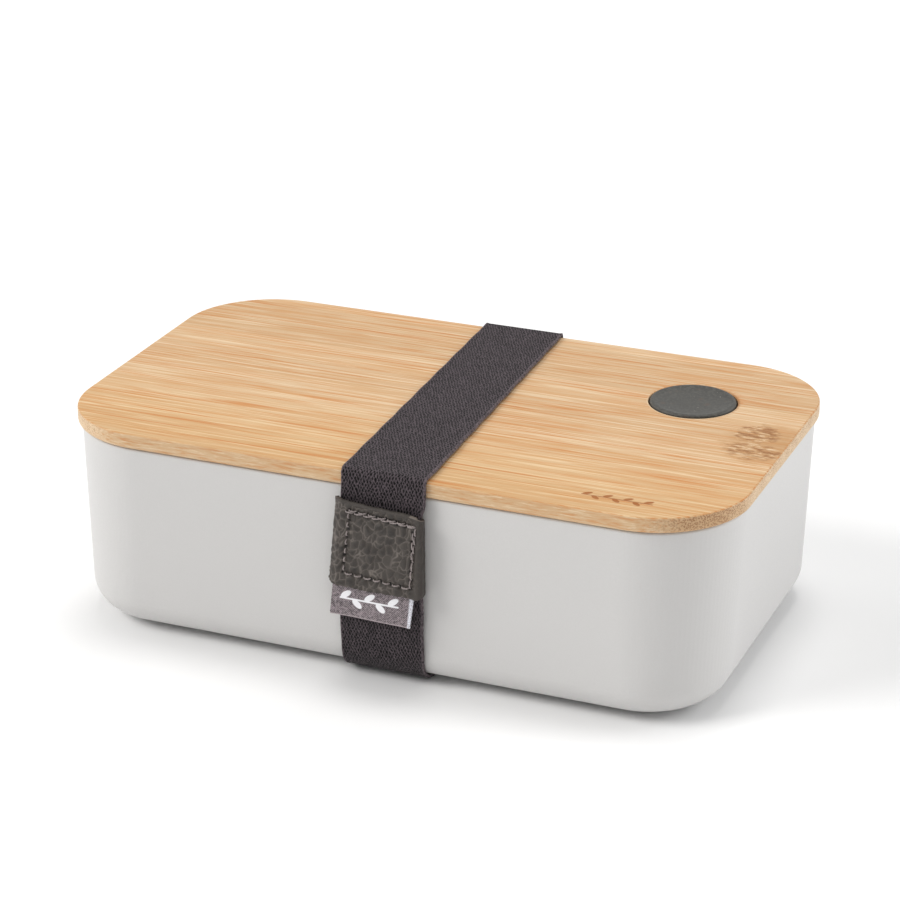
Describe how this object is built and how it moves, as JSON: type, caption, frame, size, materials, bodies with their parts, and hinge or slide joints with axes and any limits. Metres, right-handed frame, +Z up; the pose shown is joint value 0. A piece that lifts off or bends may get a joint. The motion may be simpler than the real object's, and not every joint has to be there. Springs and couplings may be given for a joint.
{
  "type": "bento lunch box",
  "caption": "Oblong lunch box with rounded corners, a bamboo lid with a round vent plug, a sliding divider, and an elastic strap with a leather patch.",
  "frame": {"origin": "on the surface that the box stands on, at the underside of the strap, under the middle of the lid", "axes": "+X along the length, to the viewer's right seen from the front; -Y the front, where the patch is; +Z up"},
  "size_m": [0.2094, 0.1311, 0.068],
  "materials": {
    "container_plastic": "satin, fine moulded texture",
    "bamboo": "sanded and oiled",
    "seal_silicone": "matte",
    "vent_silicone": "matte",
    "elastic_webbing": "woven elastic, matte",
    "patch_leather": "pebbled, low sheen",
    "thread": "twisted sewing thread",
    "label_ribbon": "woven twill ribbon"
  },
  "bodies": {
    "container": {"container": "container_plastic"},
    "lid": {"lid_board": "bamboo", "lid_seal": "seal_silicone"},
    "vent": {"vent_plug": "vent_silicone"},
    "divider": {"divider_panel": "container_plastic", "divider_seal": "seal_silicone"},
    "strap": {"strap_webbing": "elastic_webbing", "leather_patch": "patch_leather", "patch_stitching": "thread", "woven_label": "label_ribbon"}
  },
  "joints": [
    {"name": "lid_lift", "type": "slide", "parent": "container", "child": "lid", "axis": [0, 0, 1], "range_m": [0, 0.12], "deforming": ["strap_webbing"]},
    {"name": "vent_lift", "type": "slide", "parent": "lid", "child": "vent", "axis": [0, 0, 1], "range_m": [0, 0.0018]},
    {"name": "divider_slide", "type": "slide", "parent": "container", "child": "divider", "axis": [1, 0, 0], "range_m": [-0.035, 0.07]},
    {"name": "strap_slide", "type": "slide", "parent": "container", "child": "strap", "axis": [1, 0, 0], "range_m": [-0.135, 0.12]}
  ]
}
